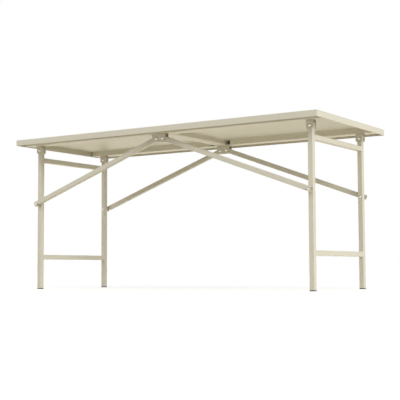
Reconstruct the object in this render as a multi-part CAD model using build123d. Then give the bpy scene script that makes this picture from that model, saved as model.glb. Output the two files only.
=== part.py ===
"""Folding work table: a folded sheet steel top on two square tube leg frames, held open by four tube braces."""

import os
from math import atan2, cos, degrees, hypot, radians, sin

from build123d import *

# All sizes are in millimetres. X runs along the table, Y runs from the front to the rear and Z runs up.
# The origin is on the floor, under the middle of the top.

# Whole table
TOP_LENGTH = 1829.0
TOP_DEPTH = 775.0
TABLE_HEIGHT = 814.5

# Sheet steel pan
TOP_SHEET = 1.2
RIM_HEIGHT = 30.6
RIM_BEND = 3.0
RIM_CORNER = 2.5
HEM_HEIGHT = 9.0
HEM_END_GAP = 6.0
HEM_EDGE = 0.5

# Top hat channels under the pan
CHANNEL_SHEET = 1.5
CHANNEL_DEPTH = 26.9
CHANNEL_BEND = 1.8
CHANNEL_FLANGE = 9.0
CROSS_MEMBER_WIDTH = 100.0
FLANGE_CLEARANCE = 1.5
COPE_CLEARANCE = 0.3
RAIL_END_GAP = 8.0
RAIL_INNER_MARGIN = 4.8
RAIL_OUTER_MARGIN = 6.8

# Leg frames
LEG_TUBE = 25.4
LEG_WALL = 1.6
LEG_CORNER = 2.8
HINGE_INSET = 85.0
LEG_SIDE_INSET = 96.8
LEG_ABOVE_PIN = 14.0
UPPER_BAR_DROP = 54.4
LOWER_BAR_HEIGHT = 174.4
STUD_DROP = 295.4

# Foot glides
GLIDE_HEIGHT = 5.0
GLIDE_CORE = 15.0
GLIDE_PLUG_LENGTH = 19.0
GLIDE_RIB = 1.2
GLIDE_RIB_COUNT = 3
GLIDE_CLEARANCE = 0.1

# Clevis brackets
BRACKET_SHEET = 2.0
BRACKET_BEND = 1.2
BRACKET_CORNER = 2.0
PIN_TO_EDGE = 16.5
HINGE_BRACKET_WIDTH = 38.0
CENTRE_BRACKET_WIDTH = 79.0
BRACKET_CLEARANCE = 0.5
SWING_CLEARANCE = 2.6

# Braces
BRACE_HEIGHT = 24.0
BRACE_WIDTH = 22.2
BRACE_WALL = 1.5
BRACE_CORNER = 2.6
BRACE_PIVOT_SPACING = 38.1
BRACE_PIVOT_END = 13.0
BRACE_STUD_END = 13.0
BRACE_GAP = 5.8

# Rivets, studs and spacers
PIN_DIAMETER = 8.0
STUD_DIAMETER = 6.4
PIN_HEAD_DIAMETER = 12.0
PIN_HEAD_HEIGHT = 2.8
PIN_HEAD_CHAMFER = 1.2
RIVET_SIDES = 12
PIN_SEAT_CLEARANCE = 0.05
PIN_RUNNING_CLEARANCE = 0.08
STUD_NOTCH_CLEARANCE = 0.5
NOTCH_EXIT_DEGREES = 2.8
STUD_SIDE_CLEARANCE = 0.8
SPACER_DIAMETER = 16.0

# One overrun serves every cut
OVERRUN = 5.0

# The leg folds in by this angle, and the brace then lies this far above the level
LEG_FOLD_DEGREES = 87.0
BRACE_LIFT_DEGREES = 0.5

# Places worked out from the sizes above
rim_bottom = TABLE_HEIGHT - RIM_HEIGHT
pan_underside = TABLE_HEIGHT - TOP_SHEET
channel_bottom = pan_underside - CHANNEL_DEPTH
leg_corner_reach = hypot(LEG_TUBE / 2, LEG_ABOVE_PIN)
brace_corner_reach = hypot(BRACE_HEIGHT / 2, BRACE_PIVOT_END)
pin_drop = BRACKET_SHEET + SWING_CLEARANCE + max(leg_corner_reach, brace_corner_reach)
pin_height = channel_bottom - pin_drop
bracket_height = pin_drop + PIN_TO_EDGE
hinge_x = TOP_LENGTH / 2 - HINGE_INSET
pivot_x = BRACE_PIVOT_SPACING / 2
leg_outer_y = TOP_DEPTH / 2 - LEG_SIDE_INSET
leg_y = leg_outer_y - LEG_TUBE / 2
leg_inner_y = leg_outer_y - LEG_TUBE
brace_inner_y = leg_outer_y + BRACE_GAP
brace_y = brace_inner_y + BRACE_WIDTH / 2
brace_outer_y = brace_inner_y + BRACE_WIDTH
hinge_bracket_depth = LEG_TUBE + 2 * (BRACKET_CLEARANCE + BRACKET_SHEET)
centre_bracket_depth = BRACE_WIDTH + 2 * (BRACKET_CLEARANCE + BRACKET_SHEET)
rail_inner_y = leg_y - hinge_bracket_depth / 2 - RAIL_INNER_MARGIN
rail_outer_y = brace_y + centre_bracket_depth / 2 + RAIL_OUTER_MARGIN
rail_width = rail_outer_y - rail_inner_y
rail_y = (rail_inner_y + rail_outer_y) / 2
rail_length = TOP_LENGTH - 2 * (TOP_SHEET + RAIL_END_GAP)
cross_member_length = 2 * (rail_inner_y - COPE_CLEARANCE)
cope_y = rail_inner_y - CHANNEL_FLANGE - FLANGE_CLEARANCE

# The brace runs from its pivot to the stud, as the long side of a right triangle
brace_run = hinge_x - pivot_x
brace_reach = hypot(brace_run, STUD_DROP)
brace_slope = atan2(STUD_DROP, brace_run)

# As the leg starts to fold, the stud leaves the brace along the notch, so the notch points at its place on leaving
fold_ratio = (degrees(brace_slope) + BRACE_LIFT_DEGREES) / LEG_FOLD_DEGREES
exit_fold = radians(NOTCH_EXIT_DEGREES)
exit_slope = brace_slope - exit_fold * fold_ratio
exit_run = brace_run - STUD_DROP * sin(exit_fold)
exit_drop = STUD_DROP * cos(exit_fold)
exit_along = exit_run * cos(exit_slope) + exit_drop * sin(exit_slope)
exit_below = exit_drop * cos(exit_slope) - exit_run * sin(exit_slope)
notch_slope = atan2(exit_below, brace_reach - exit_along)

END_SIGNS = {"left": -1, "right": 1}
SIDE_SIGNS = {"front": -1, "rear": 1}


def at_end(shape, end):
    """A shape made for the right end, moved to the named end."""
    return shape if END_SIGNS[end] > 0 else mirror(shape, about=Plane.YZ)


def at_side(shape, side):
    """A shape made for the rear side, moved to the named side."""
    return shape if SIDE_SIGNS[side] > 0 else mirror(shape, about=Plane.XZ)


def tube(size_x, size_y, length, wall, corner):
    """A rectangular tube standing on the XY plane, rounded outside and plain inside."""
    outside = RectangleRounded(size_x, size_y, corner)
    inside = Rectangle(size_x - 2 * wall, size_y - 2 * wall)
    return extrude(outside - inside, length)


def cross_hole(radius, length):
    """A round cutter along Y, centred on the origin."""
    return Rot(X=90) * Cylinder(radius, length)


def rivet_disc(radius, height):
    """A short round bar on the XY plane with few sides, enough for a rivet's size."""
    return extrude(RegularPolygon(radius, RIVET_SIDES), height)


def seat_hole(diameter, length):
    """The cutter of a tight seat for a rivet of this diameter, along Y and centred on the origin."""
    seat = rivet_disc(diameter / 2 + PIN_SEAT_CLEARANCE, length)
    return Rot(X=90) * Pos(Z=-length / 2) * seat


def rivet(diameter, grip):
    """A rivet along Y that clamps from zero to the grip, with a chamfered head at each end."""
    shank = rivet_disc(diameter / 2, grip)
    head = rivet_disc(PIN_HEAD_DIAMETER / 2, PIN_HEAD_HEIGHT)
    head = chamfer(head.faces().sort_by(Axis.Z)[-1].edges(), PIN_HEAD_CHAMFER)
    return Rot(X=-90) * (shank + Pos(Z=grip) * head + Rot(X=180) * head)


def pan_block(outline, top, bend):
    """An outline as a solid that hangs from a height, its upper edges rounded by the sheet's bend."""
    block = extrude(Pos(Z=top - RIM_HEIGHT) * outline, RIM_HEIGHT)
    return fillet(block.faces().sort_by(Axis.Z)[-1].edges(), bend)


def hem_strip(length):
    """One hem along X: the rim's bottom edge folded back on its inside, which is at Y zero. It hangs to -Y."""
    strip = Pos(Y=-TOP_SHEET / 2, Z=rim_bottom + HEM_HEIGHT / 2) * Box(length, TOP_SHEET, HEM_HEIGHT)
    lower_edge = strip.edges().filter_by(Axis.X).group_by(Axis.Z)[0].sort_by(Axis.Y)[0]
    return chamfer(lower_edge, HEM_EDGE)


def make_tabletop_pan():
    """The folded pan: flat top, turned-down rims whose corners are welded and ground round, and a hem along each."""
    inside_length = TOP_LENGTH - 2 * TOP_SHEET
    inside_depth = TOP_DEPTH - 2 * TOP_SHEET
    pan = pan_block(RectangleRounded(TOP_LENGTH, TOP_DEPTH, RIM_CORNER), TABLE_HEIGHT, RIM_BEND)
    pan -= pan_block(Rectangle(inside_length, inside_depth), pan_underside, RIM_BEND - TOP_SHEET)
    pan = chamfer(pan.faces().sort_by(Axis.Z)[0].outer_wire().edges(), HEM_EDGE)
    long_hem = Pos(Y=inside_depth / 2) * hem_strip(inside_length - 2 * HEM_END_GAP)
    short_hem = Rot(Z=-90) * Pos(Y=inside_length / 2) * hem_strip(inside_depth - 2 * HEM_END_GAP)
    for side in SIDE_SIGNS:
        pan += at_side(long_hem, side)
    for end in END_SIGNS:
        pan += at_end(short_hem, end)
    return pan


def hat_channel(width, length):
    """A top hat channel along X, open upwards, its flanges flat under the pan."""
    top = pan_underside - CHANNEL_SHEET / 2
    bottom = channel_bottom + CHANNEL_SHEET / 2
    wall = (width - CHANNEL_SHEET) / 2
    lip = width / 2 + CHANNEL_FLANGE
    half = [(wall, bottom), (wall, top), (lip, top)]
    path = [(-y, z) for y, z in reversed(half)] + half
    line = FilletPolyline(*path, radius=CHANNEL_BEND + CHANNEL_SHEET / 2)
    section = Plane.YZ * trace(line, CHANNEL_SHEET)
    return Pos(X=-length / 2) * extrude(section, length, dir=(1, 0, 0))


def make_rail(side):
    """The long channel that carries one side's brackets."""
    return at_side(Pos(Y=rail_y) * hat_channel(rail_width, rail_length), side)


def make_centre_cross_member():
    """The wide channel across the middle of the top, coped at its ends to pass under the rails' flanges."""
    member = Rot(Z=90) * hat_channel(CROSS_MEMBER_WIDTH, cross_member_length)
    cope_width = CROSS_MEMBER_WIDTH + 2 * (CHANNEL_FLANGE + OVERRUN)
    cope_length = CHANNEL_FLANGE + FLANGE_CLEARANCE
    cope_depth = CHANNEL_SHEET + CHANNEL_BEND + COPE_CLEARANCE
    cope = Box(cope_width, cope_length, cope_depth + OVERRUN)
    cope = Pos(Y=cope_y + cope_length / 2, Z=pan_underside + (OVERRUN - cope_depth) / 2) * cope
    for side in SIDE_SIGNS:
        member -= at_side(cope, side)
    return member


def clevis(width, depth, pin_places):
    """An inverted U bracket under a channel: a web, two plates with cut corners, and its pin holes."""
    top = channel_bottom - BRACKET_SHEET / 2
    bottom = channel_bottom - bracket_height
    plate = (depth - BRACKET_SHEET) / 2
    path = [(-plate, bottom), (-plate, top), (plate, top), (plate, bottom)]
    line = FilletPolyline(*path, radius=BRACKET_BEND + BRACKET_SHEET / 2)
    section = Plane.YZ * trace(line, BRACKET_SHEET)
    bracket = Pos(X=-width / 2) * extrude(section, width, dir=(1, 0, 0))
    lower_corners = bracket.edges().filter_by(Axis.Y).group_by(Axis.Z)[0]
    bracket = chamfer(lower_corners, BRACKET_CORNER)
    for x in pin_places:
        bracket -= Pos(X=x, Z=pin_height) * seat_hole(PIN_DIAMETER, depth + OVERRUN)
    return bracket


def make_hinge_bracket(side, end):
    """The clevis that one leg hangs in."""
    bracket = Pos(X=hinge_x, Y=leg_y) * clevis(HINGE_BRACKET_WIDTH, hinge_bracket_depth, [0])
    return at_side(at_end(bracket, end), side)


def make_centre_bracket(side):
    """The longer clevis that both braces of one side hang in."""
    bracket = Pos(Y=brace_y) * clevis(CENTRE_BRACKET_WIDTH, centre_bracket_depth, [-pivot_x, pivot_x])
    return at_side(bracket, side)


def make_leg(side, end):
    """A square tube leg with a running hole for its hinge pin and a tight one for its stud."""
    length = pin_height + LEG_ABOVE_PIN - GLIDE_HEIGHT
    leg = Pos(X=hinge_x, Y=leg_y, Z=GLIDE_HEIGHT) * tube(LEG_TUBE, LEG_TUBE, length, LEG_WALL, LEG_CORNER)
    pin_hole = cross_hole(PIN_DIAMETER / 2 + PIN_RUNNING_CLEARANCE, LEG_TUBE + OVERRUN)
    leg -= Pos(X=hinge_x, Y=leg_y, Z=pin_height) * pin_hole
    leg -= Pos(X=hinge_x, Y=leg_y, Z=pin_height - STUD_DROP) * seat_hole(STUD_DIAMETER, LEG_TUBE + OVERRUN)
    return at_side(at_end(leg, end), side)


def make_crossbar(end, height):
    """A square tube welded between the two legs of one end."""
    length = 2 * leg_inner_y
    bar = Rot(X=-90) * tube(LEG_TUBE, LEG_TUBE, length, LEG_WALL, LEG_CORNER)
    return at_end(Pos(X=hinge_x, Y=-leg_inner_y, Z=height) * bar, end)


def make_foot_glide(side, end):
    """A plastic insert: a foot plate under the tube, and a core with square ribs that grip its inside."""
    glide = extrude(RectangleRounded(LEG_TUBE, LEG_TUBE, LEG_CORNER), GLIDE_HEIGHT)
    glide += Pos(Z=GLIDE_HEIGHT + GLIDE_PLUG_LENGTH / 2) * Box(GLIDE_CORE, GLIDE_CORE, GLIDE_PLUG_LENGTH)
    rib_size = LEG_TUBE - 2 * (LEG_WALL + GLIDE_CLEARANCE)
    rib_pitch = GLIDE_PLUG_LENGTH / GLIDE_RIB_COUNT
    for number in range(GLIDE_RIB_COUNT):
        rib_top = GLIDE_HEIGHT + rib_pitch * (number + 1)
        glide += Pos(Z=rib_top - GLIDE_RIB / 2) * Box(rib_size, rib_size, GLIDE_RIB)
    return at_side(at_end(Pos(X=hinge_x, Y=leg_y) * glide, end), side)


def make_brace(side, end):
    """A tube brace, made level from its pivot along X and then sloped down to the stud."""
    length = brace_reach + BRACE_PIVOT_END + BRACE_STUD_END
    body = tube(BRACE_HEIGHT, BRACE_WIDTH, length, BRACE_WALL, BRACE_CORNER)
    brace = Pos(X=-BRACE_PIVOT_END) * Rot(Y=90) * body
    brace -= cross_hole(PIN_DIAMETER / 2 + PIN_RUNNING_CLEARANCE, BRACE_WIDTH + OVERRUN)
    notch_radius = STUD_DIAMETER / 2 + STUD_NOTCH_CLEARANCE
    notch_length = BRACE_HEIGHT / sin(notch_slope)
    slot = Pos(X=-notch_length / 2) * Box(notch_length, BRACE_WIDTH + OVERRUN, 2 * notch_radius)
    notch = cross_hole(notch_radius, BRACE_WIDTH + OVERRUN) + Rot(Y=-degrees(notch_slope)) * slot
    brace -= Pos(X=brace_reach) * notch
    brace = Pos(X=pivot_x, Y=brace_y, Z=pin_height) * Rot(Y=degrees(brace_slope)) * brace
    return at_side(at_end(brace, end), side)


def make_hinge_pin(side, end):
    """The rivet that a leg turns on."""
    pin = rivet(PIN_DIAMETER, hinge_bracket_depth)
    pin = Pos(X=hinge_x, Y=leg_y - hinge_bracket_depth / 2, Z=pin_height) * pin
    return at_side(at_end(pin, end), side)


def make_brace_pivot_pin(side, end):
    """The rivet that a brace turns on."""
    pin = rivet(PIN_DIAMETER, centre_bracket_depth)
    pin = Pos(X=pivot_x, Y=brace_y - centre_bracket_depth / 2, Z=pin_height) * pin
    return at_side(at_end(pin, end), side)


def make_brace_stud(side, end):
    """The headed stud through a leg that the brace hooks over."""
    grip = brace_outer_y + STUD_SIDE_CLEARANCE - leg_inner_y
    stud = Pos(X=hinge_x, Y=leg_inner_y, Z=pin_height - STUD_DROP) * rivet(STUD_DIAMETER, grip)
    return at_side(at_end(stud, end), side)


def make_stud_spacer(side, end):
    """The ring on the stud that keeps the brace clear of the leg."""
    thickness = BRACE_GAP - STUD_SIDE_CLEARANCE
    seat = rivet_disc(STUD_DIAMETER / 2 + PIN_SEAT_CLEARANCE, thickness)
    spacer = Rot(X=-90) * (rivet_disc(SPACER_DIAMETER / 2, thickness) - seat)
    return at_side(at_end(Pos(X=hinge_x, Y=leg_outer_y, Z=pin_height - STUD_DROP) * spacer, end), side)


def make_all():
    """Every sub-part by its name."""
    parts = {"tabletop_pan": make_tabletop_pan(), "centre_cross_member": make_centre_cross_member()}
    corner_makers = {
        "hinge_bracket": make_hinge_bracket,
        "leg": make_leg,
        "foot_glide": make_foot_glide,
        "brace": make_brace,
        "hinge_pin": make_hinge_pin,
        "brace_pivot_pin": make_brace_pivot_pin,
        "brace_stud": make_brace_stud,
        "stud_spacer": make_stud_spacer,
    }
    for side in SIDE_SIGNS:
        parts[f"{side}_rail"] = make_rail(side)
        parts[f"centre_bracket_{side}"] = make_centre_bracket(side)
        for end in END_SIGNS:
            for name, maker in corner_makers.items():
                parts[f"{name}_{side}_{end}"] = maker(side, end)
    for end in END_SIGNS:
        parts[f"upper_crossbar_{end}"] = make_crossbar(end, pin_height - UPPER_BAR_DROP)
        parts[f"lower_crossbar_{end}"] = make_crossbar(end, LOWER_BAR_HEIGHT)
    return parts


os.makedirs("parts", exist_ok=True)
for part_name, part_shape in make_all().items():
    export_step(part_shape, f"parts/{part_name}.step")
print(f"hinge pins at X {hinge_x:.3f}, Z {pin_height:.3f}, brace pivots at X {pivot_x:.3f}")
print(f"brace slope {degrees(brace_slope):.4f} degrees, fold ratio {fold_ratio:.6f}, reach {brace_reach:.2f}")
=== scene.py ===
"""Looks of the folding work table: powder coated steel, zinc plated rivets, weld beads and plastic feet."""

from math import cos, pi, radians, sin, tau

import bmesh
import bpy
from mathutils import Matrix, Vector


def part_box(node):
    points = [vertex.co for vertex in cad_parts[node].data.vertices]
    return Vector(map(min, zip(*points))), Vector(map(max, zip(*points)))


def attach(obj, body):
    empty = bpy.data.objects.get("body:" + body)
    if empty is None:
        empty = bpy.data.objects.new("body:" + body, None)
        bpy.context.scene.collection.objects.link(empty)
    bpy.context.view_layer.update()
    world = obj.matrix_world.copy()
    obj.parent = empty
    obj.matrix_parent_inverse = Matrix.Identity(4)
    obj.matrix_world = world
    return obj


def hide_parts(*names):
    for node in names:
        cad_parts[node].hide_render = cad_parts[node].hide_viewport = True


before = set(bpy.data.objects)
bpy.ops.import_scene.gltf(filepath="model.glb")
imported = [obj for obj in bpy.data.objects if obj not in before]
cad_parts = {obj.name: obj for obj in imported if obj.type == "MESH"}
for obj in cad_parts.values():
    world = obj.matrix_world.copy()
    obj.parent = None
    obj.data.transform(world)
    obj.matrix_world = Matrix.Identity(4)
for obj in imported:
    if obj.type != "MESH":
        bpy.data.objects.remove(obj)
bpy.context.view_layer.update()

bl_info = {
    "name": "Folding Work Table",
    "version": (1, 0, 0),
    "blender": (4, 5, 0),
    "location": "View3D > Sidebar > Work Table",
    "description": "Finishes the steelwork, rivets, welds and feet of a folding work table",
    "category": "Object",
}

MM = 0.001
ENDS = ("left", "right")
SIDES = ("front", "rear")
CORNERS = [(side, end) for side in SIDES for end in ENDS]
# Edges that turn by more than this stay sharp
SHARP_ANGLE = radians(40)

# For each kind of steelwork, the width over which the coat's colour drifts, and the share of its orange peel
COAT_KINDS = {
    "sheet": (220 * MM, 1.0),
    "tube": (90 * MM, 0.8),
    "brackets": (30 * MM, 0.7),
    "channels": (220 * MM, 1.0),
    "welds": (20 * MM, 0.5),
    "spot_welds": (20 * MM, 0.5),
}
# The CAD nodes that are coated as they are, by the start of their names
COATED_NODES = {
    "sheet": ("tabletop_pan",),
    "tube": ("leg_", "upper_crossbar", "lower_crossbar", "brace_front", "brace_rear"),
    "brackets": ("hinge_bracket", "centre_bracket"),
}
# Widths of the grain and the clouds in the zinc, and of the mould grain and the dust patches on the feet
ZINC_GRAIN = 0.4 * MM
ZINC_CLOUD = 3 * MM
MOULD_GRAIN = 0.8 * MM
DUST_PATCH = 9 * MM

# Rivets and rings lie along the table's depth
ALONG_DEPTH = (0, 1, 0)
# Rivet heads: the rim's share of the height, the power by which the dome falls off, and the shares of the
# radius between which the dimple's wall rises
RIM_SHARE = 0.35
DOME_POWER = 2.2
DIMPLE_WALL = (0.08, 0.34)
# Spot welds: the shares of the radius between which the ring rises, and how much of its rise the middle lacks
RING_WALL = (0.3, 0.75)
PRESSED_SHARE = 0.8
# How far the spot welds keep from a channel's ends
SPOT_MARGIN = 28 * MM

# Each bend of a channel is drawn as this many strips. A top hat profile has a flange, bend, wall, bend, web,
# bend, wall, bend and flange, and its strips are counted from the left
BEND_STEPS = 4
WALL_STRIP = BEND_STEPS + 1
WINDOW_STRIPS = range(WALL_STRIP, WALL_STRIP + BEND_STEPS + 1)
COPED_STRIPS = (*range(BEND_STEPS + 1), *range(4 * BEND_STEPS, 5 * BEND_STEPS + 1))
# The strips that a rail lacks in each of its five spans. Its window is cut through the lower bend beside the
# cross member, and only down to that bend under it
RAIL_GAPS = ((), WINDOW_STRIPS, (WALL_STRIP,), WINDOW_STRIPS, ())
# The strips that the cross member lacks in each of its three spans: its flanges are cut off inside the rails
MEMBER_GAPS = (COPED_STRIPS, (), COPED_STRIPS)
# The cross member clears the windows' sills, the bends under it and the edges of the rails' flanges
SILL_CLEARANCE = 0.1 * MM
EXTRA_BEND = 0.4 * MM
COPE_CLEARANCE = 1.5 * MM

# Steps in each ripple of a weld bead, and in each corner of a bead round a crossbar's end
RIPPLE_STEPS = 4
CORNER_STEPS = 4
# A bead round a crossbar's end: the share of its width that it lies in from the tube's sides, the radius of
# its corners, how far it lies short of the tube's end, and how much further out it runs in the side grooves
BEAD_SINK = 0.3
BEAD_CORNER = 3 * MM
BEAD_SET_BACK = 0.3 * MM
GROOVE_REACH = 1.2 * MM
# A bead along a bracket's web: how far it stops short of the bracket's sides, and how far below its top it is
BRACKET_BEAD_INSET = 4 * MM
BRACKET_BEAD_DROP = 0.4 * MM

# Places and sizes of the lamps, and where they aim
LAMPS = {
    "key": ((10.0, -4.6, 6.6), (4.5, 4.5)),
    "fill": ((-4.5, -5.0, 5.5), (3.0, 3.0)),
    "side": ((8.0, 0.4, 1.6), (3.0, 2.0)),
}
LAMP_AIM = Vector((0, 0, 0.5))
# Half the floor's width, and the distances from its middle between which the light added to it changes
FLOOR_REACH = 40
LIFT_REACH = (1.0, 6.0)
# The width of the camera's sensor in millimetres, and how far the camera sees in metres
SENSOR_WIDTH = 36
VIEW_REACH = 200


def linear(code):
    """The linear RGBA colour of an sRGB hex code such as #d9d2bb."""
    channels = [int(code[start : start + 2], 16) / 255 for start in (1, 3, 5)]
    return [c / 12.92 if c <= 0.04045 else ((c + 0.055) / 1.055) ** 2.4 for c in channels] + [1.0]


def shade(colour, share):
    """A colour made darker or lighter by a share."""
    return [share * channel for channel in colour[:3]] + [1.0]


def add_node(tree, kind, inputs=None, **settings):
    """Adds a node to a tree. Each input is a value, or a socket to link from."""
    node = tree.nodes.new(kind)
    for name, value in settings.items():
        setattr(node, name, value)
    for key, value in (inputs or {}).items():
        if isinstance(value, bpy.types.NodeSocket):
            tree.links.new(value, node.inputs[key])
        else:
            node.inputs[key].default_value = value
    return node


def new_material(name):
    """An empty node material, its tree and its output node."""
    material = bpy.data.materials.new(name)
    material.use_nodes = True
    material.node_tree.nodes.clear()
    return material, material.node_tree, add_node(material.node_tree, "ShaderNodeOutputMaterial")


def paint(node_name, material):
    """Gives a CAD node one material all over."""
    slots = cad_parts[node_name].data.materials
    slots.clear()
    slots.append(material)


class FinishSettings(bpy.types.PropertyGroup):
    """Colours and surface of the coat, the plating and the plastic."""

    coat_colour: bpy.props.FloatVectorProperty(
        name="Coat Colour", description="Colour of the baked powder coat", subtype="COLOR", size=4, min=0,
        max=1, default=linear("#dedac8"))
    coat_tint: bpy.props.FloatVectorProperty(
        name="Coat Tint", description="Second colour that the coat drifts to over the sheet",
        subtype="COLOR", size=4, min=0, max=1, default=linear("#dcd8c6"))
    coat_roughness: bpy.props.FloatProperty(
        name="Coat Roughness", description="Roughness of the satin powder coat", default=0.54, min=0, max=1)
    peel_size: bpy.props.FloatProperty(
        name="Orange Peel Size", description="Width of one wave of the coat's orange peel",
        subtype="DISTANCE", unit="LENGTH", default=2.5 * MM, min=0.2 * MM)
    peel_depth: bpy.props.FloatProperty(
        name="Orange Peel Depth", description="Depth of the orange peel's waves", subtype="DISTANCE",
        unit="LENGTH", default=0.03 * MM, min=0)
    zinc_colour: bpy.props.FloatVectorProperty(
        name="Zinc Colour", description="Colour of the zinc plated rivets", subtype="COLOR", size=4, min=0,
        max=1, default=linear("#c3c5c8"))
    glide_colour: bpy.props.FloatVectorProperty(
        name="Foot Colour", description="Colour of the plastic feet", subtype="COLOR", size=4, min=0, max=1,
        default=linear("#3b3a37"))


class ChannelSettings(bpy.types.PropertyGroup):
    """Sizes of the folded top hat channels under the pan."""

    sheet: bpy.props.FloatProperty(
        name="Channel Sheet", description="Thickness of the channels' sheet", subtype="DISTANCE",
        unit="LENGTH", default=1.5 * MM, min=0.5 * MM)
    bend: bpy.props.FloatProperty(
        name="Channel Bend", description="Inner radius of the channels' bends", subtype="DISTANCE",
        unit="LENGTH", default=1.8 * MM, min=0.2 * MM)
    flange: bpy.props.FloatProperty(
        name="Channel Flange", description="Width of the flanges that lie under the pan", subtype="DISTANCE",
        unit="LENGTH", default=9 * MM, min=3 * MM)
    window_left: bpy.props.FloatProperty(
        name="Window Left",
        description="Reach of the window in each rail's inner wall, left of the table's middle",
        subtype="DISTANCE", unit="LENGTH", default=57 * MM, min=45 * MM)
    window_right: bpy.props.FloatProperty(
        name="Window Right",
        description="Reach of the window in each rail's inner wall, right of the table's middle",
        subtype="DISTANCE", unit="LENGTH", default=66.5 * MM, min=45 * MM)
    entry: bpy.props.FloatProperty(
        name="Entry", description="How far the cross member's ends reach into the rails", subtype="DISTANCE",
        unit="LENGTH", default=45 * MM, min=0)


class HardwareSettings(bpy.types.PropertyGroup):
    """Sizes of the rivets, the weld beads and the spot welds."""

    rivet_shank: bpy.props.FloatProperty(
        name="Rivet Shank", description="Diameter of the hinge and pivot rivets' shanks", subtype="DISTANCE",
        unit="LENGTH", default=8 * MM, min=1 * MM)
    stud_shank: bpy.props.FloatProperty(
        name="Stud Shank", description="Diameter of the leg studs' shanks, and of the bore of their spacers",
        subtype="DISTANCE", unit="LENGTH", default=6.4 * MM, min=1 * MM)
    rivet_head_height: bpy.props.FloatProperty(
        name="Rivet Head Height", description="Height of each formed head over the sheet",
        subtype="DISTANCE", unit="LENGTH", default=2.8 * MM, min=0.5 * MM)
    rivet_dimple: bpy.props.FloatProperty(
        name="Rivet Dimple", description="Depth of the dimple that the riveting tool leaves in a head",
        subtype="DISTANCE", unit="LENGTH", default=0.7 * MM, min=0)
    spacer_edge: bpy.props.FloatProperty(
        name="Spacer Edge", description="Radius of the turned edges of the stud spacers", subtype="DISTANCE",
        unit="LENGTH", default=0.6 * MM, min=0.1 * MM)
    bead_width: bpy.props.FloatProperty(
        name="Weld Bead Width", description="Width of a weld bead", subtype="DISTANCE", unit="LENGTH",
        default=3.4 * MM, min=1 * MM)
    bead_ripple: bpy.props.FloatProperty(
        name="Weld Ripple Pitch", description="Distance between two ripples of a bead", subtype="DISTANCE",
        unit="LENGTH", default=2.4 * MM, min=0.5 * MM)
    spot_diameter: bpy.props.FloatProperty(
        name="Spot Weld Diameter", description="Diameter of the mark that a spot weld leaves",
        subtype="DISTANCE", unit="LENGTH", default=5.5 * MM, min=1 * MM)
    spot_pitch: bpy.props.FloatProperty(
        name="Spot Weld Pitch", description="Distance between two spot welds along a flange",
        subtype="DISTANCE", unit="LENGTH", default=62 * MM, min=10 * MM)


class StageSettings(bpy.types.PropertyGroup):
    """Camera, lamps and floor of the studio."""

    camera_place: bpy.props.FloatVectorProperty(
        name="Camera Place", description="Where the camera stands", subtype="TRANSLATION", unit="LENGTH",
        default=(2.82369, -4.28441, 0.09798))
    camera_turn: bpy.props.FloatProperty(
        name="Camera Turn", description="Turn of the camera about the upright axis, from the rear",
        subtype="ANGLE", default=0.57685)
    camera_rise: bpy.props.FloatProperty(
        name="Camera Rise", description="How far the camera looks up from the level", subtype="ANGLE",
        default=0.07216)
    camera_roll: bpy.props.FloatProperty(
        name="Camera Roll", description="Roll of the camera about its own line of sight", subtype="ANGLE",
        default=-0.00471)
    camera_lens: bpy.props.FloatProperty(
        name="Camera Lens", description="Focal length on a 36 mm wide sensor, in millimetres",
        default=87.509, min=10)
    key_power: bpy.props.FloatProperty(
        name="Key Lamp", description="Power of the high soft lamp at the right front", unit="POWER",
        default=449, min=0)
    fill_power: bpy.props.FloatProperty(
        name="Fill Lamp", description="Power of the high soft lamp at the left front", unit="POWER",
        default=125, min=0)
    side_power: bpy.props.FloatProperty(
        name="Side Lamp", description="Power of the lower lamp past the right end", unit="POWER",
        default=117, min=0)
    room_light: bpy.props.FloatProperty(
        name="Room Light", description="Strength of the even light from the white room", default=0.607, min=0)
    floor_colour: bpy.props.FloatVectorProperty(
        name="Floor Colour", description="Colour of the matt floor", subtype="COLOR", size=4, min=0, max=1,
        default=linear("#c2bcaf"))
    lift_colour: bpy.props.FloatVectorProperty(
        name="Lift Colour",
        description="Colour of the light that the camera sees added to the floor, a little cool",
        subtype="COLOR", size=4, min=0, max=1, default=linear("#f2f7ff"))
    shine_colour: bpy.props.FloatVectorProperty(
        name="Shine Colour", description="Colour of the floor where the coat's gloss mirrors it",
        subtype="COLOR", size=4, min=0, max=1, default=linear("#fff7e7"))
    floor_lift: bpy.props.FloatProperty(
        name="Floor Lift", description="Light that the camera sees added to the floor under the table",
        default=0.655, min=0)
    far_floor_lift: bpy.props.FloatProperty(
        name="Far Floor Lift",
        description="Light that the camera sees added to the floor where the lamps fall off",
        default=0.76, min=0)
    floor_shine: bpy.props.FloatProperty(
        name="Floor Shine", description="Strength of the floor where the coat's gloss mirrors it",
        default=2.07, min=0)


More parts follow.
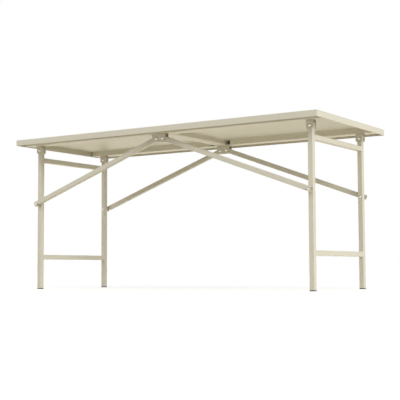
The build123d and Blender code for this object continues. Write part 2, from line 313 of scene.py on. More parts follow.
def make_powder_coat(kind, finish):
    """Satin polyester powder coat baked on steel: even, warm off-white, soft gloss, faint orange peel."""
    drift_size, peel_share = COAT_KINDS[kind]
    material, tree, output = new_material(f"powder_coat_on_{kind}")
    place = add_node(tree, "ShaderNodeTexCoord").outputs["Object"]
    # The film is a little thicker or thinner over a hand's width, which shifts its colour very slightly
    drift = add_node(tree, "ShaderNodeTexNoise", {"Vector": place, "Scale": 1 / drift_size, "Detail": 2.0})
    tone = add_node(tree, "ShaderNodeMapRange", {
        "Value": drift.outputs["Fac"], "From Min": 0.35, "From Max": 0.65})
    colour = add_node(tree, "ShaderNodeMix", {
        "Factor": tone.outputs["Result"], "A": finish.coat_colour, "B": finish.coat_tint}, data_type="RGBA")
    # Powder grain is about 0.05 mm, too fine to show, so it is drawn as coarse as the peel
    peel = add_node(tree, "ShaderNodeTexNoise", {
        "Vector": place, "Scale": 1 / finish.peel_size, "Detail": 3.0})
    gloss = add_node(tree, "ShaderNodeMapRange", {
        "Value": peel.outputs["Fac"], "From Min": 0.3, "From Max": 0.7,
        "To Min": finish.coat_roughness - 0.05, "To Max": finish.coat_roughness + 0.05})
    bump = add_node(tree, "ShaderNodeBump", {
        "Height": peel.outputs["Fac"], "Distance": finish.peel_depth * peel_share, "Strength": 1.0})
    shader = add_node(tree, "ShaderNodeBsdfPrincipled", {
        "Base Color": colour.outputs["Result"], "Roughness": gloss.outputs["Result"],
        "Normal": bump.outputs["Normal"], "IOR": 1.5})
    tree.links.new(shader.outputs["BSDF"], output.inputs["Surface"])
    return material


def make_zinc_plate(finish):
    """Bright zinc plated steel rivet: cool light grey metal with a fine worked grain and soft reflections."""
    material, tree, output = new_material("zinc_plated_rivet")
    place = add_node(tree, "ShaderNodeTexCoord").outputs["Object"]
    # The grain of the plating shows as a slight unevenness of the gloss
    grain = add_node(tree, "ShaderNodeTexNoise", {"Vector": place, "Scale": 1 / ZINC_GRAIN, "Detail": 2.0})
    cloud = add_node(tree, "ShaderNodeTexNoise", {"Vector": place, "Scale": 1 / ZINC_CLOUD, "Detail": 2.0})
    colour = add_node(tree, "ShaderNodeMix", {
        "Factor": cloud.outputs["Fac"], "A": finish.zinc_colour, "B": shade(finish.zinc_colour, 0.86)},
        data_type="RGBA")
    gloss = add_node(tree, "ShaderNodeMapRange", {
        "Value": grain.outputs["Fac"], "To Min": 0.28, "To Max": 0.46})
    bump = add_node(tree, "ShaderNodeBump", {"Height": grain.outputs["Fac"], "Distance": 0.01 * MM})
    shader = add_node(tree, "ShaderNodeBsdfPrincipled", {
        "Base Color": colour.outputs["Result"], "Roughness": gloss.outputs["Result"],
        "Normal": bump.outputs["Normal"], "Metallic": 1.0})
    tree.links.new(shader.outputs["BSDF"], output.inputs["Surface"])
    return material


def make_moulded_plastic(finish):
    """Injection moulded polyethylene foot: near black grey, dull, with a spark-eroded mould grain."""
    material, tree, output = new_material("moulded_polyethylene_foot")
    place = add_node(tree, "ShaderNodeTexCoord").outputs["Object"]
    # The mould grain is 0.3 mm, drawn at 0.8 mm so that it shows
    grain = add_node(tree, "ShaderNodeTexNoise", {"Vector": place, "Scale": 1 / MOULD_GRAIN, "Detail": 4.0})
    # Floor dust lightens the foot in soft patches
    dust = add_node(tree, "ShaderNodeTexNoise", {"Vector": place, "Scale": 1 / DUST_PATCH, "Detail": 3.0})
    tone = add_node(tree, "ShaderNodeMapRange", {
        "Value": dust.outputs["Fac"], "From Min": 0.45, "From Max": 0.75})
    colour = add_node(tree, "ShaderNodeMix", {
        "Factor": tone.outputs["Result"], "A": finish.glide_colour, "B": shade(finish.glide_colour, 1.25)},
        data_type="RGBA")
    bump = add_node(tree, "ShaderNodeBump", {"Height": grain.outputs["Fac"], "Distance": 0.05 * MM})
    shader = add_node(tree, "ShaderNodeBsdfPrincipled", {
        "Base Color": colour.outputs["Result"], "Roughness": 0.6,
        "Normal": bump.outputs["Normal"], "IOR": 1.51})
    tree.links.new(shader.outputs["BSDF"], output.inputs["Surface"])
    return material


def new_geometry_tree(name, sizes):
    """An empty Geometry Nodes tree with a named input for each size and for the material."""
    tree = bpy.data.node_groups.new(name, "GeometryNodeTree")
    tree.interface.new_socket("Geometry", in_out="INPUT", socket_type="NodeSocketGeometry")
    for size, default in sizes.items():
        kind = "NodeSocketInt" if isinstance(default, int) else "NodeSocketFloat"
        tree.interface.new_socket(size, in_out="INPUT", socket_type=kind).default_value = default
    tree.interface.new_socket("Material", in_out="INPUT", socket_type="NodeSocketMaterial")
    tree.interface.new_socket("Geometry", in_out="OUTPUT", socket_type="NodeSocketGeometry")
    return tree, add_node(tree, "NodeGroupInput").outputs


def end_tree(tree, geometry, material):
    """Closes a tree: instances made real, material set."""
    real = add_node(tree, "GeometryNodeRealizeInstances", {"Geometry": geometry})
    smooth = add_node(tree, "GeometryNodeSetShadeSmooth", {"Geometry": real.outputs["Geometry"]})
    finished = add_node(tree, "GeometryNodeSetMaterial", {
        "Geometry": smooth.outputs["Geometry"], "Material": material})
    add_node(tree, "NodeGroupOutput", {"Geometry": finished.outputs["Geometry"]})
    return tree


def make_rivet_tree():
    """Rivets on points: a shank along the point's lean and a domed head with a tool dimple at each end."""
    tree, given = new_geometry_tree("rivet_tree", {
        "Grip": 30 * MM, "Shank Diameter": 8 * MM, "Head Diameter": 12 * MM, "Head Height": 2.4 * MM,
        "Dimple Depth": 0.7 * MM, "Sides": 32})
    head_radius, shank_radius = [
        add_node(tree, "ShaderNodeMath", {0: given[size], 1: 0.5}, operation="MULTIPLY").outputs[0]
        for size in ("Head Diameter", "Shank Diameter")]
    rim = add_node(tree, "ShaderNodeMath", {
        0: given["Head Height"], 1: RIM_SHARE}, operation="MULTIPLY").outputs[0]
    dome = add_node(tree, "ShaderNodeMath", {
        0: given["Head Height"], 1: rim}, operation="SUBTRACT").outputs[0]
    disc = add_node(tree, "GeometryNodeMeshCylinder", {
        "Vertices": given["Sides"], "Side Segments": 1, "Fill Segments": 7, "Radius": head_radius,
        "Depth": rim})
    # The upper cap is raised to a dome, less the dimple at its middle
    height, share = measure_disc(tree, head_radius)
    drop = add_node(tree, "ShaderNodeMath", {0: share, 1: DOME_POWER}, operation="POWER").outputs[0]
    level = add_node(tree, "ShaderNodeMath", {0: 1.0, 1: drop}, operation="SUBTRACT").outputs[0]
    rise = add_node(tree, "ShaderNodeMath", {0: level, 1: dome}, operation="MULTIPLY").outputs[0]
    dent = add_node(tree, "ShaderNodeMapRange", {
        "Value": share, "From Min": DIMPLE_WALL[0], "From Max": DIMPLE_WALL[1],
        "To Min": given["Dimple Depth"], "To Max": 0.0}, interpolation_type="SMOOTHSTEP").outputs["Result"]
    lift = add_node(tree, "ShaderNodeMath", {0: rise, 1: dent}, operation="SUBTRACT").outputs[0]
    offset = add_node(tree, "ShaderNodeCombineXYZ", {"Z": lift}).outputs["Vector"]
    upper = add_node(tree, "ShaderNodeMath", {0: height, 1: 0.0}, operation="GREATER_THAN").outputs[0]
    head = add_node(tree, "GeometryNodeSetPosition", {
        "Geometry": disc.outputs["Mesh"], "Selection": upper, "Offset": offset}).outputs["Geometry"]
    half_rim = add_node(tree, "ShaderNodeMath", {0: rim, 1: 0.5}, operation="MULTIPLY").outputs[0]
    far_end = add_node(tree, "ShaderNodeMath", {0: given["Grip"], 1: half_rim}, operation="ADD").outputs[0]
    near_end = add_node(tree, "ShaderNodeMath", {0: 0.0, 1: half_rim}, operation="SUBTRACT").outputs[0]
    far_shift = add_node(tree, "ShaderNodeCombineXYZ", {"Z": far_end}).outputs["Vector"]
    near_shift = add_node(tree, "ShaderNodeCombineXYZ", {"Z": near_end}).outputs["Vector"]
    far_head = add_node(tree, "GeometryNodeTransform", {"Geometry": head, "Translation": far_shift})
    near_head = add_node(tree, "GeometryNodeTransform", {
        "Geometry": head, "Translation": near_shift, "Rotation": (pi, 0, 0)})
    shank = add_node(tree, "GeometryNodeMeshCylinder", {
        "Vertices": given["Sides"], "Radius": shank_radius, "Depth": given["Grip"]}, fill_type="NONE")
    middle = add_node(tree, "ShaderNodeMath", {0: given["Grip"], 1: 0.5}, operation="MULTIPLY").outputs[0]
    shank_shift = add_node(tree, "ShaderNodeCombineXYZ", {"Z": middle}).outputs["Vector"]
    shank = add_node(tree, "GeometryNodeTransform", {
        "Geometry": shank.outputs["Mesh"], "Translation": shank_shift})
    rivet = add_node(tree, "GeometryNodeJoinGeometry")
    for piece in (far_head, near_head, shank):
        tree.links.new(piece.outputs["Geometry"], rivet.inputs["Geometry"])
    rivets = spread_along_leans(tree, given["Geometry"], rivet.outputs["Geometry"])
    return end_tree(tree, rivets, given["Material"])


def measure_disc(tree, radius):
    """The height of each point of a disc, and its distance from the axis as a share of the radius."""
    place = add_node(tree, "GeometryNodeInputPosition").outputs["Position"]
    split = add_node(tree, "ShaderNodeSeparateXYZ", {"Vector": place}).outputs
    flat = add_node(tree, "ShaderNodeCombineXYZ", {"X": split["X"], "Y": split["Y"]}).outputs["Vector"]
    reach = add_node(tree, "ShaderNodeVectorMath", {0: flat}, operation="LENGTH").outputs["Value"]
    return split["Z"], add_node(tree, "ShaderNodeMath", {0: reach, 1: radius}, operation="DIVIDE").outputs[0]


def spread_along_leans(tree, points, shape):
    """Puts one copy of a shape on each point, its own Z turned to the lean that the point carries."""
    lean = add_node(tree, "GeometryNodeInputNamedAttribute", {"Name": "lean"}, data_type="FLOAT_VECTOR")
    turn = add_node(tree, "FunctionNodeAlignRotationToVector", {
        "Vector": lean.outputs["Attribute"]}, axis="Z")
    spread = add_node(tree, "GeometryNodeInstanceOnPoints", {
        "Points": points, "Instance": shape, "Rotation": turn.outputs["Rotation"]})
    return spread.outputs["Instances"]


def make_spacer_tree():
    """Turned rings on points: a thick round washer that starts at the point, its four edges rounded."""
    tree, given = new_geometry_tree("stud_spacer_tree", {
        "Outer Diameter": 16 * MM, "Bore": 6.4 * MM, "Thickness": 5 * MM, "Edge Radius": 0.6 * MM,
        "Sides": 40})
    outer, bore = given["Outer Diameter"], given["Bore"]
    across = add_node(tree, "ShaderNodeMath", {0: outer, 1: bore}, operation="ADD").outputs[0]
    radius = add_node(tree, "ShaderNodeMath", {0: across, 1: 0.25}, operation="MULTIPLY").outputs[0]
    walls = add_node(tree, "ShaderNodeMath", {0: outer, 1: bore}, operation="SUBTRACT").outputs[0]
    wall = add_node(tree, "ShaderNodeMath", {0: walls, 1: 0.5}, operation="MULTIPLY").outputs[0]
    path = add_node(tree, "GeometryNodeCurvePrimitiveCircle", {
        "Resolution": given["Sides"], "Radius": radius})
    section = add_node(tree, "GeometryNodeCurvePrimitiveQuadrilateral", {
        "Width": wall, "Height": given["Thickness"]})
    section = add_node(tree, "GeometryNodeFilletCurve", {
        "Curve": section.outputs["Curve"], "Count": 3, "Radius": given["Edge Radius"]}, mode="POLY")
    ring = add_node(tree, "GeometryNodeCurveToMesh", {
        "Curve": path.outputs["Curve"], "Profile Curve": section.outputs["Curve"]})
    middle = add_node(tree, "ShaderNodeMath", {
        0: given["Thickness"], 1: 0.5}, operation="MULTIPLY").outputs[0]
    shift = add_node(tree, "ShaderNodeCombineXYZ", {"Z": middle}).outputs["Vector"]
    ring = add_node(tree, "GeometryNodeTransform", {"Geometry": ring.outputs["Mesh"], "Translation": shift})
    rings = spread_along_leans(tree, given["Geometry"], ring.outputs["Geometry"])
    return end_tree(tree, rings, given["Material"])


def make_bead_tree():
    """A weld bead along edges: a round cord whose thickness ripples like the pools it was laid in."""
    tree, given = new_geometry_tree("weld_bead_tree", {
        "Bead Width": 3.4 * MM, "Ripple Pitch": 2.4 * MM, "Ripple Share": 0.16, "Sides": 8})
    path = add_node(tree, "GeometryNodeMeshToCurve", {"Mesh": given["Geometry"]}).outputs["Curve"]
    step = add_node(tree, "ShaderNodeMath", {
        0: given["Ripple Pitch"], 1: 1 / RIPPLE_STEPS}, operation="MULTIPLY").outputs[0]
    path = add_node(tree, "GeometryNodeResampleCurve", {
        "Curve": path, "Length": step}, mode="LENGTH").outputs["Curve"]
    along = add_node(tree, "GeometryNodeSplineParameter").outputs["Length"]
    turns = add_node(tree, "ShaderNodeMath", {
        0: along, 1: given["Ripple Pitch"]}, operation="DIVIDE").outputs[0]
    phase = add_node(tree, "ShaderNodeMath", {0: turns, 1: tau}, operation="MULTIPLY").outputs[0]
    wave = add_node(tree, "ShaderNodeMath", {0: phase}, operation="SINE").outputs[0]
    swell = add_node(tree, "ShaderNodeMath", {
        0: wave, 1: given["Ripple Share"]}, operation="MULTIPLY").outputs[0]
    thickness = add_node(tree, "ShaderNodeMath", {0: swell, 1: 1.0}, operation="ADD").outputs[0]
    radius = add_node(tree, "ShaderNodeMath", {
        0: given["Bead Width"], 1: 0.5}, operation="MULTIPLY").outputs[0]
    section = add_node(tree, "GeometryNodeCurvePrimitiveCircle", {
        "Resolution": given["Sides"], "Radius": radius})
    bead = add_node(tree, "GeometryNodeCurveToMesh", {
        "Curve": path, "Profile Curve": section.outputs["Curve"], "Scale": thickness, "Fill Caps": True})
    return end_tree(tree, bead.outputs["Mesh"], given["Material"])


def make_spot_tree():
    """Spot weld marks along edges: a shallow ring with a sunk middle, pressed by the welding tips."""
    tree, given = new_geometry_tree("spot_weld_tree", {
        "Spot Diameter": 5.5 * MM, "Spot Pitch": 62 * MM, "Ring Rise": 0.25 * MM, "Sides": 18})
    path = add_node(tree, "GeometryNodeMeshToCurve", {"Mesh": given["Geometry"]}).outputs["Curve"]
    dots = add_node(tree, "GeometryNodeCurveToPoints", {
        "Curve": path, "Length": given["Spot Pitch"]}, mode="LENGTH")
    radius = add_node(tree, "ShaderNodeMath", {
        0: given["Spot Diameter"], 1: 0.5}, operation="MULTIPLY").outputs[0]
    disc = add_node(tree, "GeometryNodeMeshCylinder", {
        "Vertices": given["Sides"], "Side Segments": 1, "Fill Segments": 4, "Radius": radius,
        "Depth": given["Ring Rise"]})
    height, share = measure_disc(tree, radius)
    ring = add_node(tree, "ShaderNodeMapRange", {
        "Value": share, "From Min": RING_WALL[0], "From Max": RING_WALL[1],
        "To Min": given["Ring Rise"], "To Max": 0.0}, interpolation_type="SMOOTHSTEP").outputs["Result"]
    sunk = add_node(tree, "ShaderNodeMath", {0: ring, 1: PRESSED_SHARE}, operation="MULTIPLY").outputs[0]
    offset = add_node(tree, "ShaderNodeCombineXYZ", {"Z": sunk}).outputs["Vector"]
    lower = add_node(tree, "ShaderNodeMath", {0: height, 1: 0.0}, operation="LESS_THAN").outputs[0]
    mark = add_node(tree, "GeometryNodeSetPosition", {
        "Geometry": disc.outputs["Mesh"], "Selection": lower, "Offset": offset}).outputs["Geometry"]
    spread = add_node(tree, "GeometryNodeInstanceOnPoints", {
        "Points": dots.outputs["Points"], "Instance": mark})
    return end_tree(tree, spread.outputs["Instances"], given["Material"])


def grow(name, tree, values, points, edges=(), leans=()):
    """Runs a Geometry Nodes tree on points or edges and returns the finished piece as a plain mesh object."""
    seed = bpy.data.meshes.new(name + "_seed")
    seed.from_pydata(points, edges, [])
    if leans:
        attribute = seed.attributes.new("lean", "FLOAT_VECTOR", "POINT")
        attribute.data.foreach_set("vector", [part for lean in leans for part in lean])
    piece = bpy.data.objects.new(name, seed)
    bpy.context.scene.collection.objects.link(piece)
    modifier = piece.modifiers.new(tree.name, "NODES")
    modifier.node_group = tree
    for item in tree.interface.items_tree:
        if item.in_out == "INPUT" and item.name in values:
            modifier[item.identifier] = values[item.name]
    graph = bpy.context.evaluated_depsgraph_get()
    mesh = bpy.data.meshes.new_from_object(piece.evaluated_get(graph), depsgraph=graph)
    piece.modifiers.remove(modifier)
    piece.data = mesh
    mesh.name = name
    mesh.set_sharp_from_angle(angle=SHARP_ANGLE)
    bpy.data.meshes.remove(seed)
    return piece


class WORKTABLE_OT_coat_steelwork(bpy.types.Operator):
    """Gives the top, the brackets, the legs, the crossbars and the braces their powder coat"""

    bl_idname = "worktable.coat_steelwork"
    bl_label = "Coat Steelwork"

    def execute(self, context):
        for kind, starts in COATED_NODES.items():
            coat = make_powder_coat(kind, context.scene.worktable_finish)
            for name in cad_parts:
                if name.startswith(starts):
                    paint(name, coat)
        return {"FINISHED"}


def hat_profile(width, depth, sheet, bend, flange):
    """The middle line of a top hat section that hangs from height 0: points, each with its left normal."""
    wall, lip = (width - sheet) / 2, width / 2 + flange
    top, bottom = -sheet / 2, sheet / 2 - depth
    outline = ((-lip, top), (-wall, top), (-wall, bottom), (wall, bottom), (wall, top), (lip, top))
    corners = [Vector(corner) for corner in outline]
    radius = bend + sheet / 2
    profile = [(corners[0], Vector((0, 1)))]
    for previous, corner, following in zip(corners, corners[1:], corners[2:]):
        ahead, leaving = (corner - previous).normalized(), (following - corner).normalized()
        left = Vector((-ahead.y, ahead.x))
        side = 1 if left.dot(leaving) > 0 else -1
        centre = corner + (side * left - ahead) * radius
        for step in range(BEND_STEPS + 1):
            turn = side * step / BEND_STEPS * pi / 2
            normal = left * cos(turn) - ahead * sin(turn)
            profile.append((centre - side * radius * normal, normal))
    return profile + [(corners[-1], Vector((0, 1)))]


def fold_sheet(name, profile, sheet, stations, gaps, place):
    """A folded sheet: strips from station to station, less the gaps in each span, with a face on each cut."""
    shape = bmesh.new()
    grid = [[[shape.verts.new(place @ Vector((along, *(point + normal * face * sheet / 2))))
              for point, normal in profile] for face in (1, -1)] for along in stations]
    spans, strips = range(len(stations) - 1), range(len(profile) - 1)
    there = {(span, strip) for span in spans for strip in strips if strip not in gaps[span]}
    for span, strip in there:
        for face in (0, 1):
            near, far = grid[span][face], grid[span + 1][face]
            shape.faces.new((near[strip], near[strip + 1], far[strip + 1], far[strip]))
    for span in range(len(stations)):
        for strip in range(len(profile)):
            if ((span, strip) in there) != ((span, strip - 1) in there):
                near, far = grid[span], grid[span + 1]
                shape.faces.new((near[0][strip], far[0][strip], far[1][strip], near[1][strip]))
            if ((span, strip) in there) != ((span - 1, strip) in there):
                over, under = grid[span]
                shape.faces.new((over[strip], over[strip + 1], under[strip + 1], under[strip]))
    bmesh.ops.delete(shape, geom=[vert for vert in shape.verts if not vert.link_faces], context="VERTS")
    bmesh.ops.recalc_face_normals(shape, faces=shape.faces)
    mesh = bpy.data.meshes.new(name)
    shape.to_mesh(mesh)
    shape.free()
    mesh.shade_smooth()
    mesh.set_sharp_from_angle(angle=SHARP_ANGLE)
    piece = bpy.data.objects.new(name, mesh)
    bpy.context.scene.collection.objects.link(piece)
    return piece


def member_flange():
    """The width of the cross member's flange: what its node is wider than the centre brackets at a side."""
    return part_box("centre_cross_member")[1].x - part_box("centre_bracket_rear")[1].x


class WORKTABLE_OT_fold_channels(bpy.types.Operator):
    """Folds the two rails, with a window in each inner wall, and the cross member that enters both windows"""

    bl_idname = "worktable.fold_channels"
    bl_label = "Fold Channels"

    def execute(self, context):
        channel = context.scene.worktable_channels
        sheet, bend, flange = channel.sheet, channel.bend, channel.flange
        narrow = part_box("centre_bracket_rear")[1].x
        pieces = {}
        for side, half_turn in (("front", pi), ("rear", 0)):
            low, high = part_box(f"{side}_rail")
            profile = hat_profile(high.y - low.y - 2 * flange, high.z - low.z, sheet, bend, flange)
            # The two rails are one part, turned round at the front
            place = Matrix.Translation((0, (low.y + high.y) / 2, high.z)) @ Matrix.Rotation(half_turn, 4, "Z")
            stations = (low.x, -channel.window_left, -narrow, narrow, channel.window_right, high.x)
            pieces[f"{side}_rail"] = fold_sheet(f"{side}_channel", profile, sheet, stations, RAIL_GAPS, place)
        # The cross member lies on the windows' sills, and its bends are a little rounder than theirs
        rail_low, rail_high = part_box("rear_rail")
        depth = rail_high.z - rail_low.z - sheet - bend - SILL_CLEARANCE
        profile = hat_profile(2 * narrow, depth, sheet, bend + EXTRA_BEND, member_flange())
        end, cope = rail_low.y + flange + channel.entry, rail_low.y - COPE_CLEARANCE
        place = Matrix.Translation((0, 0, rail_high.z)) @ Matrix.Rotation(pi / 2, 4, "Z")
        pieces["centre_cross_member"] = fold_sheet(
            "centre_channel", profile, sheet, (-end, -cope, cope, end), MEMBER_GAPS, place)
        coat = make_powder_coat("channels", context.scene.worktable_finish)
        for node, piece in pieces.items():
            piece.data.materials.append(coat)
            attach(piece, "tabletop")
            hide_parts(node)
        return {"FINISHED"}


class WORKTABLE_OT_add_rivets(bpy.types.Operator):
    """Makes the hinge rivets, the brace pivot rivets, and the leg studs with their spacers"""

    bl_idname = "worktable.add_rivets"
    bl_label = "Add Rivets"

    def execute(self, context):
        hardware = context.scene.worktable_hardware
        zinc = make_zinc_plate(context.scene.worktable_finish)
        tree = make_rivet_tree()
        pins = [f"hinge_pin_{side}_{end}" for side, end in CORNERS]
        pivots = [f"brace_pivot_pin_{side}_{end}" for side, end in CORNERS]
        groups = {
            "hinge_rivets": (pins, hardware.rivet_shank, "tabletop"),
            "pivot_rivets": (pivots, hardware.rivet_shank, "tabletop"),
        }
        for end in ENDS:
            studs = [f"brace_stud_{side}_{end}" for side in SIDES]
            groups[f"{end}_leg_studs"] = (studs, hardware.stud_shank, f"{end}_leg_frame")
        for name, (nodes, shank, body) in groups.items():
            points, size = start_points(nodes, hardware.rivet_head_height)
            piece = grow(name, tree, {
                "Grip": size.y - 2 * hardware.rivet_head_height,
                "Shank Diameter": shank,
                "Head Diameter": size.x,
                "Head Height": hardware.rivet_head_height,
                "Dimple Depth": hardware.rivet_dimple,
                "Material": zinc}, points, leans=[ALONG_DEPTH] * len(points))
            finish_hardware(piece, body, nodes)
        tree = make_spacer_tree()
        for end in ENDS:
            nodes = [f"stud_spacer_{side}_{end}" for side in SIDES]
            points, size = start_points(nodes, 0)
            piece = grow(f"{end}_stud_spacers", tree, {
                "Outer Diameter": size.z,
                "Bore": hardware.stud_shank,
                "Thickness": size.y,
                "Edge Radius": hardware.spacer_edge,
                "Material": zinc}, points, leans=[ALONG_DEPTH] * len(points))
            finish_hardware(piece, f"{end}_leg_frame", nodes)
        return {"FINISHED"}


def start_points(nodes, head):
    """Where the shank of each turned node starts, a head's height from its front, and the nodes' size."""
    points = []
    for node in nodes:
        low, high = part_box(node)
        points.append(((low.x + high.x) / 2, low.y + head, (low.z + high.z) / 2))
    return points, high - low


def finish_hardware(piece, body, nodes):
    """Ties a steel piece to the body that it moves with, and hides the CAD nodes that it stands for."""
    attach(piece, body)
    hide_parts(*nodes)


class WORKTABLE_OT_lay_weld_beads(bpy.types.Operator):
    """Lays the weld beads round the crossbar ends and along the brackets' webs"""

    bl_idname = "worktable.lay_weld_beads"
    bl_label = "Lay Weld Beads"

    def execute(self, context):
        hardware = context.scene.worktable_hardware
        coat = make_powder_coat("welds", context.scene.worktable_finish)
        tree = make_bead_tree()
        values = {"Bead Width": hardware.bead_width, "Ripple Pitch": hardware.bead_ripple, "Material": coat}
        for end in ENDS:
            points, edges = [], []
            for level in ("upper", "lower"):
                low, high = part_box(f"{level}_crossbar_{end}")
                for y in (low.y, high.y):
                    ring = ring_points(low, high, y, hardware.bead_width)
                    first = len(points)
                    points += ring
                    edges += [(first + step, first + (step + 1) % len(ring)) for step in range(len(ring))]
            piece = grow(f"{end}_frame_welds", tree, values, points, edges)
            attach(piece, f"{end}_leg_frame")
        points, edges = [], []
        brackets = [f"hinge_bracket_{side}_{end}" for side, end in CORNERS]
        brackets += [f"centre_bracket_{side}" for side in SIDES]
        for name in brackets:
            low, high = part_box(name)
            for x in (low.x, high.x):
                for y in (low.y + BRACKET_BEAD_INSET, high.y - BRACKET_BEAD_INSET):
                    points.append((x, y, high.z - BRACKET_BEAD_DROP))
                edges.append((len(points) - 2, len(points) - 1))
        piece = grow("bracket_welds", tree, values, points, edges)
        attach(piece, "tabletop")
        return {"FINISHED"}


def ring_points(low, high, y, width):
    """The line of a bead round a crossbar's end: over and under it, and in the grooves at its sides."""
    outward = 1 if y > 0 else -1
    half_x = (high.x - low.x) / 2 - BEAD_SINK * width
    half_z = (high.z - low.z) / 2
    middle = Vector(((low.x + high.x) / 2, 0, (low.z + high.z) / 2))
    ring = []
    for quarter, (right, up) in enumerate(((1, 1), (-1, 1), (-1, -1), (1, -1))):
        for step in range(CORNER_STEPS + 1):
            turn = (quarter + step / CORNER_STEPS) * pi / 2
            x = right * (half_x - BEAD_CORNER) + BEAD_CORNER * cos(turn)
            z = up * (half_z - BEAD_CORNER) + BEAD_CORNER * sin(turn)
            reach = GROOVE_REACH * abs(cos(turn)) - BEAD_SET_BACK
            ring.append(middle + Vector((x, y + outward * reach, z)))
    return ring


class WORKTABLE_OT_press_spot_welds(bpy.types.Operator):
    """Marks the spot welds along the channels' flanges"""

    bl_idname = "worktable.press_spot_welds"
    bl_label = "Press Spot Welds"

    def execute(self, context):
        hardware = context.scene.worktable_hardware
        coat = make_powder_coat("spot_welds", context.scene.worktable_finish)
        channel = context.scene.worktable_channels
        points, edges = [], []
        flanges = {
            "front_rail": channel.flange, "rear_rail": channel.flange, "centre_cross_member": member_flange()}
        for name, flange in flanges.items():
            axis = 1 if name == "centre_cross_member" else 0
            low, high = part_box(name)
            for across in (low[1 - axis] + flange / 2, high[1 - axis] - flange / 2):
                for along in (low[axis] + SPOT_MARGIN, high[axis] - SPOT_MARGIN):
                    point = [0, 0, high.z - channel.sheet]
                    point[axis], point[1 - axis] = along, across
                    points.append(point)
                edges.append((len(points) - 2, len(points) - 1))
        values = {
            "Spot Diameter": hardware.spot_diameter, "Spot Pitch": hardware.spot_pitch, "Material": coat}
        piece = grow("spot_welds", make_spot_tree(), values, points, edges)
        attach(piece, "tabletop")
        return {"FINISHED"}


class WORKTABLE_OT_finish_feet(bpy.types.Operator):
    """Gives the plastic feet their moulded finish"""

    bl_idname = "worktable.finish_feet"
    bl_label = "Finish Feet"

    def execute(self, context):
        plastic = make_moulded_plastic(context.scene.worktable_finish)
        for side, end in CORNERS:
            paint(f"foot_glide_{side}_{end}", plastic)
        return {"FINISHED"}


class WORKTABLE_OT_set_stage(bpy.types.Operator):
    """Sets up the white floor, the soft lamps and the camera"""

    bl_idname = "worktable.set_stage"
    bl_label = "Set Stage"

    def execute(self, context):
        stage = context.scene.worktable_stage
        context.scene.view_settings.view_transform = "Standard"
        add_floor(stage)
        add_room(context.scene, stage.room_light)
        for name, (place, size) in LAMPS.items():
            add_lamp(f"{name}_lamp", place, size, getattr(stage, f"{name}_power"))
        add_camera(context.scene, stage)
        return {"FINISHED"}


def add_floor(stage):
    """A wide pale floor with a soft shadow. The camera sees it as bright as the white room behind it."""
    mesh = bpy.data.meshes.new("studio_floor")
    corners = [(FLOOR_REACH * x, FLOOR_REACH * y, 0) for x, y in ((-1, -1), (1, -1), (1, 1), (-1, 1))]
    mesh.from_pydata(corners, [], [(0, 1, 2, 3)])
    floor = bpy.data.objects.new("studio_floor", mesh)
    bpy.context.scene.collection.objects.link(floor)
    material, tree, output = new_material("matt_white_studio_floor")
    matt = add_node(tree, "ShaderNodeBsdfDiffuse", {"Color": stage.floor_colour})
    rays = add_node(tree, "ShaderNodeLightPath").outputs
    place = add_node(tree, "ShaderNodeTexCoord").outputs["Object"]
    away = add_node(tree, "ShaderNodeVectorMath", {0: place}, operation="LENGTH").outputs["Value"]
    level = add_node(tree, "ShaderNodeMapRange", {
        "Value": away, "From Min": LIFT_REACH[0], "From Max": LIFT_REACH[1],
        "To Min": stage.floor_lift, "To Max": stage.far_floor_lift})
    seen = add_node(tree, "ShaderNodeMath", {
        0: rays["Is Camera Ray"], 1: level.outputs["Result"]}, operation="MULTIPLY")
    mirrored = add_node(tree, "ShaderNodeMath", {
        0: rays["Is Glossy Ray"], 1: stage.floor_shine}, operation="MULTIPLY")
    lift = add_node(tree, "ShaderNodeEmission", {"Color": stage.lift_colour, "Strength": seen.outputs[0]})
    shine = add_node(tree, "ShaderNodeEmission", {
        "Color": stage.shine_colour, "Strength": mirrored.outputs[0]})
    glow = add_node(tree, "ShaderNodeAddShader", {0: lift.outputs["Emission"], 1: shine.outputs["Emission"]})
    both = add_node(tree, "ShaderNodeAddShader", {0: matt.outputs["BSDF"], 1: glow.outputs["Shader"]})
    tree.links.new(both.outputs["Shader"], output.inputs["Surface"])
    mesh.materials.append(material)


def add_room(scene, strength):
    """The white room: plain white to the camera, and an even soft light on everything else."""
    world = bpy.data.worlds.new("white_room")
    world.use_nodes = True
    tree = world.node_tree
    tree.nodes.clear()
    rays = add_node(tree, "ShaderNodeLightPath").outputs
    level = add_node(tree, "ShaderNodeMapRange", {
        "Value": rays["Is Camera Ray"], "To Min": strength, "To Max": 1.0})
    light = add_node(tree, "ShaderNodeBackground", {
        "Color": (1, 1, 1, 1), "Strength": level.outputs["Result"]})
    add_node(tree, "ShaderNodeOutputWorld", {"Surface": light.outputs["Background"]})
    scene.world = world


def add_lamp(name, place, size, power):
    """A soft rectangular lamp that faces the middle of the table and isn't seen by the camera itself."""
    lamp = bpy.data.lights.new(name, "AREA")
    lamp.shape = "RECTANGLE"
    lamp.size, lamp.size_y = size
    lamp.energy = power
    holder = bpy.data.objects.new(name, lamp)
    holder.location = place
    holder.rotation_euler = (LAMP_AIM - Vector(place)).to_track_quat("-Z", "Y").to_euler()
    holder.visible_camera = False
    bpy.context.scene.collection.objects.link(holder)


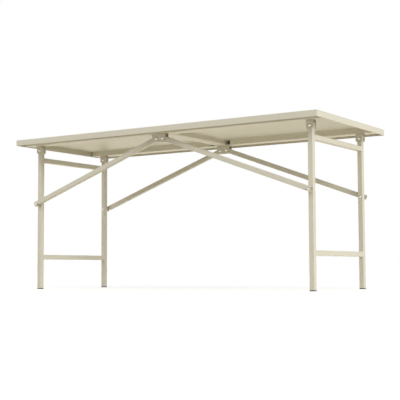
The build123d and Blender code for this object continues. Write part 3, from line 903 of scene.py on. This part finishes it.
def add_camera(scene, stage):
    """The camera as solved from the photograph: low, at the right front, looking slightly up."""
    lens = bpy.data.cameras.new("camera")
    lens.sensor_width = SENSOR_WIDTH
    lens.lens = stage.camera_lens
    lens.clip_end = VIEW_REACH
    camera = bpy.data.objects.new("camera", lens)
    turn = Matrix.Rotation(stage.camera_turn, 4, "Z")
    rise = Matrix.Rotation(pi / 2 + stage.camera_rise, 4, "X")
    roll = Matrix.Rotation(stage.camera_roll, 4, "Z")
    camera.matrix_world = Matrix.Translation(stage.camera_place) @ turn @ rise @ roll
    scene.collection.objects.link(camera)
    scene.camera = camera


class WORKTABLE_PT_panel(bpy.types.Panel):
    """Lists the table's settings and the buttons of its building steps in the sidebar"""

    bl_label = "Folding Work Table"
    bl_space_type = "VIEW_3D"
    bl_region_type = "UI"
    bl_category = "Work Table"

    def draw(self, context):
        scene = context.scene
        for setting in SETTINGS:
            group = getattr(scene, setting)
            box = self.layout.box()
            for name in group.__annotations__:
                box.prop(group, name)
        for operator in OPERATORS:
            self.layout.operator(operator.bl_idname)


OPERATORS = (
    WORKTABLE_OT_coat_steelwork,
    WORKTABLE_OT_fold_channels,
    WORKTABLE_OT_add_rivets,
    WORKTABLE_OT_lay_weld_beads,
    WORKTABLE_OT_press_spot_welds,
    WORKTABLE_OT_finish_feet,
    WORKTABLE_OT_set_stage,
)
SETTINGS = {
    "worktable_finish": FinishSettings,
    "worktable_channels": ChannelSettings,
    "worktable_hardware": HardwareSettings,
    "worktable_stage": StageSettings,
}
CLASSES = (*SETTINGS.values(), *OPERATORS, WORKTABLE_PT_panel)


def register():
    """Registers the classes and hangs the settings on the scene."""
    for item in CLASSES:
        bpy.utils.register_class(item)
    for name, group in SETTINGS.items():
        setattr(bpy.types.Scene, name, bpy.props.PointerProperty(type=group))


def unregister():
    """Takes the settings and the classes away again."""
    for name in SETTINGS:
        delattr(bpy.types.Scene, name)
    for item in reversed(CLASSES):
        bpy.utils.unregister_class(item)


def main():
    """Builds every piece and the stage."""
    register()
    bpy.ops.worktable.coat_steelwork()
    bpy.ops.worktable.fold_channels()
    bpy.ops.worktable.add_rivets()
    bpy.ops.worktable.lay_weld_beads()
    bpy.ops.worktable.press_spot_welds()
    bpy.ops.worktable.finish_feet()
    bpy.ops.worktable.set_stage()


if __name__ == "__main__":
    main()
